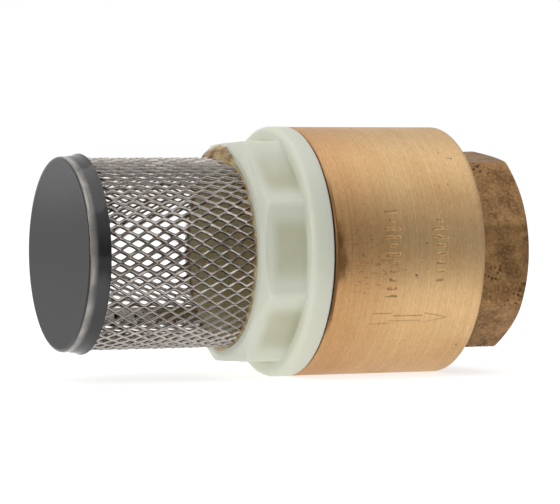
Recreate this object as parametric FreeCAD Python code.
import FreeCAD, Part
import math
import os

# Spring-loaded foot valve for a suction pipe: a brass body with a 3/4 inch outlet, a moulded nylon
# inlet connector that carries the valve seat, and a strainer tube of expanded stainless steel.
# Flow runs along +X. X = 0 is the outlet face, the strainer points to -X, and +Z is up.
# All lengths are in millimetres and all angles in degrees.

# ---- driving dimensions: brass body ----
thread_bore_diameter = 24.12
thread_relief = 2.0
shoulder_width = 3.14
thread_step = 0.8
body_wall = 3.0
boss_wall = 4.04
boss_length = 10.4
boss_turn = -8.0
end_wall = 2.1
barrel_outlet_edge = 0.8
barrel_inlet_edge = 0.25
nut_chamfer_angle = 30.0

# ---- driving dimensions: nylon connector ----
flange_overhang = 0.05
flange_thickness = 4.0
flange_edge = 1.0
nut_length = 7.75
nut_turn = 2.7
nut_face_inset = 1.1
socket_wall = 2.45
socket_depth = 7.0
socket_ledge = 0.75
seat_length = 6.55
seat_overlap = 2.4
seat_lip_inset = 0.8
seat_lip_width = 0.6
seat_lip_height = 0.5
port_straight = 5.3

# ---- driving dimensions: strainer ----
mesh_diameter = 31.2
mesh_thickness = 0.5
mesh_exposed_length = 25.2
mesh_columns = 24
mesh_rows = 6
mesh_strand = 0.9
mesh_end_band = 0.8
seam_angle = 225.0
seam_plain_share = 0.6
weld_spots = 6
weld_diameter = 1.5
weld_height = 0.35
cap_wall = 0.4
cap_depth = 3.5
cap_edge = 0.6
cap_edge_ease = 0.18
cap_flare = 0.45
bead_height = 0.7
bead_crown = 0.3
bead_width = 0.95

# ---- driving dimensions: moving poppet ----
lift = 6.0
flow_gap = 2.8
disc_thickness = 2.55
disc_rim = 1.4
disc_rim_wall = 0.5
stem_diameter = 5.0
pilot_height = 1.0
seal_thickness = 2.0
retainer_gap = 1.2
retainer_thickness = 1.0
screw_diameter = 3.0
screw_length = 7.6
screw_head_overhang = 1.4
screw_head_height = 1.8
screw_slot_width = 0.8
screw_slot_depth = 0.9
spigot_wall = 1.5
clip_thickness = 0.5
clip_overhang = 1.7
clip_groove_depth = 0.5
clip_mouth = 3.0
stem_tip = 0.5

# ---- driving dimensions: guide and spring ----
spider_thickness = 2.0
spider_ring_width = 2.6
spider_arms = 3
spider_arm_width = 2.4
hub_length = 5.5
hub_wall = 1.45
bush_wall = 1.0
bush_collar_overhang = 0.75
bush_collar_height = 0.4
cup_thickness = 0.5
cup_lip_height = 1.2
cup_lip_gap = 0.45
wire_diameter = 0.7
ring_section = 1.7

# ---- clearances ----
thread_clearance = 0.05
stem_clearance = 0.05
press_clearance = 0.01
spider_clearance = 0.1
seat_gap = 0.05
seal_clearance = 0.1
flange_gap = 0.15
ring_clearance = 0.05
hub_clearance = 0.05
hub_spring_gap = 0.65
pilot_gap = 0.35
clip_gap = 0.3
lift_spare = 0.75
spring_spare = 0.6
resin_gap = 0.25
cap_clearance = 0.1
mesh_seat_gap = 0.1

# ---- stations along the flow axis: from the outlet face through the guide and poppet to the cap ----
x_outlet = 0.0
x_barrel_outlet = x_outlet - boss_length
x_shoulder = x_barrel_outlet - end_wall
x_thread_end = x_shoulder + thread_relief
x_spider = x_shoulder - spider_thickness
x_spring_fixed = x_spider - cup_thickness
x_hub = x_shoulder - hub_length
x_pilot = x_hub - bush_collar_height - lift_spare - lift
x_disc_back = x_pilot - pilot_height
x_disc = x_disc_back - disc_thickness
x_seal = x_disc - seal_thickness
x_seat_lip = x_seal - seat_gap
x_seat_face = x_seat_lip - seat_lip_height
x_flange_inner = x_seat_face - seat_length
x_barrel_inlet = x_flange_inner + flange_gap
x_ring_groove = x_flange_inner + ring_section + ring_clearance
x_flange_outer = x_flange_inner - flange_thickness
x_nut_end = x_flange_outer - nut_length
x_socket = x_nut_end + socket_depth
x_port_mouth = x_seat_face - port_straight
x_clip = x_shoulder + clip_gap
x_stem_end = x_clip + clip_thickness + stem_tip
x_mesh_inner = x_socket - mesh_seat_gap
x_cap_rear = x_nut_end - mesh_exposed_length
x_cap_front = x_cap_rear - cap_depth
x_mesh_outer = x_cap_front + cap_wall + mesh_seat_gap

# ---- radii of the body and poppet: outwards from the outlet's thread, then in from the chamber ----
thread_bore_r = thread_bore_diameter / 2
relief_r = thread_bore_r + thread_relief
chamber_r = relief_r + shoulder_width
connector_thread_r = chamber_r + thread_step
barrel_r = connector_thread_r + body_wall
boss_flat_r = thread_bore_r + boss_wall
flange_r = barrel_r + flange_overhang
disc_r = chamber_r - flow_gap
port_r = disc_r - seat_overlap
seat_lip_r = port_r + seat_lip_inset
seal_r = disc_r - disc_rim_wall - seal_clearance
retainer_r = port_r - retainer_gap
ring_groove_r = connector_thread_r - ring_section
ring_mean_r = ring_groove_r + ring_clearance + ring_section / 2
ring_seat_r = ring_mean_r + ring_section / 2 + ring_clearance

# ---- radii of the stem, guide and spring: outwards from the stem ----
stem_r = stem_diameter / 2
bush_bore_r = stem_r + stem_clearance
bush_r = bush_bore_r + bush_wall
bush_collar_r = bush_r + bush_collar_overhang
hub_r = bush_r + hub_wall
wire_r = wire_diameter / 2
spring_mean_r = hub_r + hub_spring_gap + wire_r
pilot_r = spring_mean_r - wire_r - pilot_gap
clip_groove_r = stem_r - clip_groove_depth
clip_r = stem_r + clip_overhang
screw_r = screw_diameter / 2
screw_head_r = screw_r + screw_head_overhang
spigot_r = screw_r + spigot_wall

# ---- radii of the strainer and its socket: outwards from the mesh tube ----
mesh_outer_r = mesh_diameter / 2
mesh_inner_r = mesh_outer_r - mesh_thickness
socket_r = mesh_outer_r + resin_gap
funnel_r = socket_r - socket_ledge
nut_flat_r = socket_r + socket_wall
nut_face_r = nut_flat_r - nut_face_inset
cap_front_r = mesh_outer_r + cap_clearance + cap_wall
cap_rear_r = cap_front_r + cap_flare

# ---- the spring has as many turns as still leave a spare gap when the poppet is fully lifted ----
spring_closed_length = x_spring_fixed - x_disc_back - lift - spring_spare
spring_coils = spring_closed_length / wire_diameter - 1

AXIS = FreeCAD.Vector(1, 0, 0)
ORIGIN = FreeCAD.Vector(0, 0, 0)
CUT_MARGIN = 2.0
FUSE_DEPTH = 1.0
HELIX_PIECES_PER_TURN = 4


def cylinder(radius, x_low, x_high):
    """A solid cylinder on the flow axis between two stations."""
    return Part.makeCylinder(radius, x_high - x_low, FreeCAD.Vector(x_low, 0, 0), AXIS)


def tube(outer_r, inner_r, x_low, x_high):
    """A plain ring on the flow axis."""
    hole = cylinder(inner_r, x_low - CUT_MARGIN, x_high + CUT_MARGIN)
    return cylinder(outer_r, x_low, x_high).cut(hole)


def cone(x_low, r_low, x_high, r_high):
    """A solid cone frustum on the flow axis."""
    return Part.makeCone(r_low, r_high, x_high - x_low, FreeCAD.Vector(x_low, 0, 0), AXIS)


def revolve(profile):
    """A solid of revolution from (x, radius) points."""
    points = [FreeCAD.Vector(x, 0, radius) for x, radius in profile]
    face = Part.Face(Part.makePolygon(points + points[:1]))
    return face.revolve(ORIGIN, AXIS, 360)


def octagon(flat_r, turn, x_low, x_high):
    """An eight-sided prism on the flow axis, turned about it from flats at the sides."""
    corner_r = flat_r / math.cos(math.pi / 8)
    angles = [math.pi / 8 + math.pi / 4 * side + math.radians(turn) for side in range(8)]
    points = [FreeCAD.Vector(x_low, -corner_r * math.cos(a), corner_r * math.sin(a)) for a in angles]
    face = Part.Face(Part.makePolygon(points + points[:1]))
    return face.extrude(FreeCAD.Vector(x_high - x_low, 0, 0))


def nut_chamfer(face_r, x_face, inward):
    """The cone that a turned nut chamfer leaves: keep what is inside it. inward is +1 or -1."""
    reach = barrel_r
    depth = reach * math.tan(math.radians(nut_chamfer_angle))
    outer = (x_face + inward * depth, face_r + reach)
    stop = (outer[0] + inward * reach, face_r + reach)
    return revolve([(x_face, 0), (x_face, face_r), outer, stop, (stop[0], 0)])


def fillet_circles(shape, size, places):
    """Rounds the circular edges found at the given (station, radius) places."""
    chosen = []
    for edge in shape.Edges:
        curve = edge.Curve
        if not isinstance(curve, Part.Circle):
            continue
        for x_place, radius in places:
            if abs(curve.Center.x - x_place) < 1e-4 and abs(curve.Radius - radius) < 1e-4:
                chosen.append(edge)
                break
    return shape.makeFillet(size, chosen)


def make_valve_body():
    """Forged brass body: turned barrel, octagonal outlet boss, chamber and threaded bores."""
    barrel = cylinder(barrel_r, x_barrel_inlet, x_barrel_outlet)
    barrel = fillet_circles(barrel, barrel_outlet_edge, [(x_barrel_outlet, barrel_r)])
    barrel = barrel.makeChamfer(
        barrel_inlet_edge,
        [e for e in barrel.Edges if isinstance(e.Curve, Part.Circle)
         and abs(e.Curve.Center.x - x_barrel_inlet) < 1e-4],
    )
    boss = octagon(boss_flat_r, boss_turn, x_barrel_outlet - end_wall / 2, x_outlet)
    boss = boss.common(nut_chamfer(boss_flat_r, x_outlet, -1))
    body = barrel.fuse(boss)
    body = body.cut(cylinder(ring_seat_r, x_barrel_inlet - CUT_MARGIN, x_ring_groove))
    body = body.cut(cylinder(connector_thread_r, x_barrel_inlet, x_seat_lip))
    chamber = cylinder(chamber_r, x_barrel_inlet, x_shoulder)
    body = body.cut(chamber)
    body = body.cut(cylinder(thread_bore_r, x_shoulder - CUT_MARGIN, x_outlet + CUT_MARGIN))
    return body.cut(cone(x_shoulder, relief_r, x_thread_end, thread_bore_r))


def make_strainer_connector():
    """Moulded nylon connector: octagon, flange, threaded neck, valve seat and strainer socket."""
    nut = octagon(nut_flat_r, nut_turn, x_nut_end, x_flange_outer + flange_thickness / 2)
    nut = nut.common(nut_chamfer(nut_face_r, x_nut_end, 1))
    flange = cylinder(flange_r, x_flange_outer, x_flange_inner)
    flange = fillet_circles(
        flange, flange_edge, [(x_flange_outer, flange_r), (x_flange_inner, flange_r)]
    )
    neck = cylinder(ring_groove_r, x_flange_outer, x_seat_face)
    thread = cylinder(connector_thread_r - thread_clearance, x_ring_groove, x_seat_face)
    lip_outer_r = seat_lip_r + seat_lip_width / 2
    lip_inner_r = seat_lip_r - seat_lip_width / 2
    lip = tube(lip_outer_r, lip_inner_r, x_seat_face - FUSE_DEPTH, x_seat_lip)
    connector = nut.fuse(flange).fuse(neck).fuse(thread).fuse(lip)
    connector = connector.cut(cylinder(port_r, x_socket, x_seat_lip + CUT_MARGIN))
    funnel = cone(x_socket, funnel_r, x_port_mouth, port_r)
    connector = connector.cut(funnel)
    return connector.cut(cylinder(socket_r, x_nut_end - CUT_MARGIN, x_socket))


def make_connector_o_ring():
    """Rubber ring squeezed between the connector's neck and the body's mouth."""
    x_ring = x_ring_groove - ring_clearance - ring_section / 2
    return Part.makeTorus(ring_mean_r, ring_section / 2, FreeCAD.Vector(x_ring, 0, 0), AXIS)


def make_guide_spider():
    """Brass guide: an outer ring on the body's shoulder, three arms and a hub."""
    ring_r = chamber_r - spider_clearance
    spider = tube(ring_r, ring_r - spider_ring_width, x_spider, x_shoulder)
    hub = cylinder(hub_r, x_hub, x_shoulder)
    for arm in range(spider_arms):
        blade = Part.makeBox(
            spider_thickness,
            spider_arm_width,
            ring_r - spider_ring_width / 2,
            FreeCAD.Vector(x_spider, -spider_arm_width / 2, 0),
        )
        blade.rotate(ORIGIN, AXIS, 360 / spider_arms * arm)
        spider = spider.fuse(blade)
    spider = spider.fuse(hub)
    return spider.cut(cylinder(bush_r, x_hub - CUT_MARGIN, x_shoulder + CUT_MARGIN))


def make_guide_bush():
    """Acetal bush pressed into the hub, with a collar on its inlet end."""
    sleeve = tube(bush_r - press_clearance, bush_bore_r, x_hub, x_shoulder)
    collar = tube(bush_collar_r, bush_bore_r, x_hub - bush_collar_height, x_hub)
    return sleeve.fuse(collar)


def make_spring_cup():
    """Stainless seat for the fixed end of the spring, over the hub and on the arms."""
    lip_r = spring_mean_r + wire_r + cup_lip_gap
    plate = tube(lip_r + cup_thickness, hub_r + hub_clearance, x_spring_fixed, x_spider)
    lip = tube(lip_r + cup_thickness, lip_r, x_spider - cup_lip_height, x_spider)
    return plate.fuse(lip)


def make_return_spring():
    """Open coil of round stainless wire at its installed length, with the valve shut."""
    span = x_spring_fixed - x_disc_back - wire_diameter
    pieces = math.ceil(spring_coils * HELIX_PIECES_PER_TURN)
    edges = []
    for piece in range(pieces):
        helix = Part.makeHelix(span / spring_coils, span / pieces, spring_mean_r)
        helix.rotate(ORIGIN, FreeCAD.Vector(0, 0, 1), 360 * spring_coils / pieces * piece)
        helix.translate(FreeCAD.Vector(0, 0, span / pieces * piece))
        edges.extend(helix.Edges)
    path = Part.Wire(edges)
    path.rotate(ORIGIN, FreeCAD.Vector(0, 1, 0), 90)
    path.translate(FreeCAD.Vector(x_disc_back + wire_r, 0, 0))
    start = path.Edges[0].valueAt(path.Edges[0].FirstParameter)
    tangent = path.Edges[0].tangentAt(path.Edges[0].FirstParameter)
    section = Part.Wire(Part.makeCircle(wire_r, start, tangent))
    return path.makePipeShell([section], True, True)


def make_poppet():
    """Acetal poppet: disc with a rim round the seal, spring pilot, stem and a screw hole."""
    disc = cylinder(disc_r, x_disc - disc_rim, x_disc_back)
    recess = tube(disc_r - disc_rim_wall, spigot_r, x_disc - disc_rim - CUT_MARGIN, x_disc)
    poppet = disc.cut(recess)
    spigot_end = x_seal + seal_clearance
    poppet = poppet.fuse(cylinder(spigot_r, spigot_end, x_disc))
    poppet = poppet.fuse(cylinder(pilot_r, x_disc_back, x_pilot))
    poppet = poppet.fuse(cylinder(stem_r, x_disc, x_stem_end))
    poppet = poppet.cut(tube(stem_r + CUT_MARGIN, clip_groove_r, x_clip, x_clip + clip_thickness))
    hole_end = x_seal + screw_length + seal_clearance
    return poppet.cut(cylinder(screw_r, spigot_end - CUT_MARGIN, hole_end))


def make_poppet_seal():
    """Flat rubber ring round the poppet's spigot, which closes on the seat lip."""
    return tube(seal_r, spigot_r + press_clearance, x_seal, x_disc)


def make_seal_retainer():
    """Stainless disc that clamps the seal to the poppet."""
    return tube(retainer_r, screw_r + press_clearance, x_seal - retainer_thickness, x_seal)


def make_retainer_screw():
    """Slotted pan-head screw through the retainer into the poppet."""
    x_head = x_seal - retainer_thickness
    x_top = x_head - screw_head_height
    head = cylinder(screw_head_r, x_top, x_head)
    shank = cylinder(screw_r - press_clearance, x_head, x_seal + screw_length)
    corner = FreeCAD.Vector(x_top, -screw_head_r - CUT_MARGIN, -screw_slot_width / 2)
    slot = Part.makeBox(screw_slot_depth, 2 * (screw_head_r + CUT_MARGIN), screw_slot_width, corner)
    return head.fuse(shank).cut(slot)


def make_stem_clip():
    """Open stainless clip snapped into the stem's groove, beyond the hub."""
    clip_low = x_clip + press_clearance
    clip_high = x_clip + clip_thickness - press_clearance
    clip = tube(clip_r, clip_groove_r + press_clearance, clip_low, clip_high)
    corner = FreeCAD.Vector(x_clip, -clip_mouth / 2, 0)
    mouth = Part.makeBox(clip_thickness, clip_mouth, clip_r + CUT_MARGIN, corner)
    return clip.cut(mouth)


def mesh_openings():
    """Diamond prisms that pierce the strainer tube, in staggered rows, but not at the seam."""
    x_first = x_mesh_outer + mesh_end_band
    pitch_x = (x_mesh_inner - mesh_end_band - x_first) / (mesh_rows + 0.5)
    pitch_angle = 360 / mesh_columns
    half_x = pitch_x / 2 - mesh_strand / 2
    half_y = math.pi * mesh_outer_r / mesh_columns - mesh_strand / 2
    depth = mesh_thickness + CUT_MARGIN
    openings = []
    for column in range(2 * mesh_columns):
        stagger = 0.5 * (column % 2)
        angle = pitch_angle * column / 2
        away = abs((angle - seam_angle + 180) % 360 - 180)
        if away < pitch_angle * seam_plain_share:
            continue
        for row in range(mesh_rows):
            x = x_first + pitch_x * (row + 0.5 + stagger)
            y = -(mesh_outer_r + CUT_MARGIN / 2)
            points = [
                FreeCAD.Vector(x - half_x, y, 0),
                FreeCAD.Vector(x, y, -half_y),
                FreeCAD.Vector(x + half_x, y, 0),
                FreeCAD.Vector(x, y, half_y),
            ]
            diamond = Part.Face(Part.makePolygon(points + points[:1]))
            prism = diamond.extrude(FreeCAD.Vector(0, depth, 0))
            prism.rotate(ORIGIN, AXIS, -angle)
            openings.append(prism)
    return openings


def make_strainer_mesh():
    """Tube rolled from expanded stainless sheet, with diamond openings and a plain lap seam."""
    sleeve = tube(mesh_outer_r, mesh_inner_r, x_mesh_outer, x_mesh_inner)
    return sleeve.cut(Part.makeCompound(mesh_openings()))


def make_mesh_seam_welds():
    """Spot welds evenly spaced along the seam, inside the strainer tube."""
    pitch_x = (x_nut_end - x_cap_rear) / (weld_spots + 1)
    inner = mesh_inner_r - press_clearance
    welds = []
    for spot in range(weld_spots):
        x = x_cap_rear + pitch_x * (spot + 1)
        base = FreeCAD.Vector(x, -inner, 0)
        weld = Part.makeCylinder(weld_diameter / 2, weld_height, base, FreeCAD.Vector(0, 1, 0))
        weld = weld.common(cylinder(inner, x_cap_front, x_seat_face))
        weld.rotate(ORIGIN, AXIS, -seam_angle)
        welds.append(weld.Solids[0])
    return Part.makeCompound(welds)


def make_strainer_end_cap():
    """Pressed and enamelled cap over the end of the strainer tube, with a flared rear edge."""
    inner_front = x_cap_front + cap_wall
    inner_front_r = cap_front_r - cap_wall
    outer = revolve([
        (x_cap_front, 0),
        (x_cap_front, cap_front_r - cap_edge),
        (x_cap_front + cap_edge_ease, cap_front_r - cap_edge_ease),
        (x_cap_front + cap_edge, cap_front_r),
        (x_cap_rear - cap_depth / 2, cap_front_r + cap_flare / 4),
        (x_cap_rear, cap_rear_r),
        (x_cap_rear, 0),
    ])
    inner = revolve([
        (inner_front, 0),
        (inner_front, inner_front_r),
        (x_cap_rear - cap_depth / 2, inner_front_r + cap_flare / 4),
        (x_cap_rear, cap_rear_r - cap_wall),
        (x_cap_rear + CUT_MARGIN, cap_rear_r - cap_wall),
        (x_cap_rear + CUT_MARGIN, 0),
    ])
    return outer.cut(inner)


def make_bonding_resin():
    """Cured resin that fills the socket round the strainer tube and stands out as a bead."""
    inner = mesh_outer_r + press_clearance
    outer = socket_r - press_clearance
    x_face = x_nut_end - press_clearance
    return revolve([
        (x_nut_end - bead_height, inner),
        (x_nut_end - bead_height, inner + bead_crown),
        (x_face, inner + bead_width),
        (x_face, outer),
        (x_mesh_inner, outer),
        (x_mesh_inner, inner),
    ])


PIECES = {
    "valve_body": make_valve_body,
    "strainer_connector": make_strainer_connector,
    "connector_o_ring": make_connector_o_ring,
    "guide_spider": make_guide_spider,
    "guide_bush": make_guide_bush,
    "spring_cup": make_spring_cup,
    "return_spring": make_return_spring,
    "poppet": make_poppet,
    "poppet_seal": make_poppet_seal,
    "seal_retainer": make_seal_retainer,
    "retainer_screw": make_retainer_screw,
    "stem_clip": make_stem_clip,
    "strainer_mesh": make_strainer_mesh,
    "mesh_seam_welds": make_mesh_seam_welds,
    "strainer_end_cap": make_strainer_end_cap,
    "bonding_resin": make_bonding_resin,
}

os.makedirs("parts", exist_ok=True)
for name, make in PIECES.items():
    shape = make()
    if not shape.isValid() or not shape.Solids:
        raise RuntimeError(name + " did not build as a valid solid")
    shape.exportStep("parts/" + name + ".step")
    print(name, len(shape.Solids), round(shape.Volume, 1))
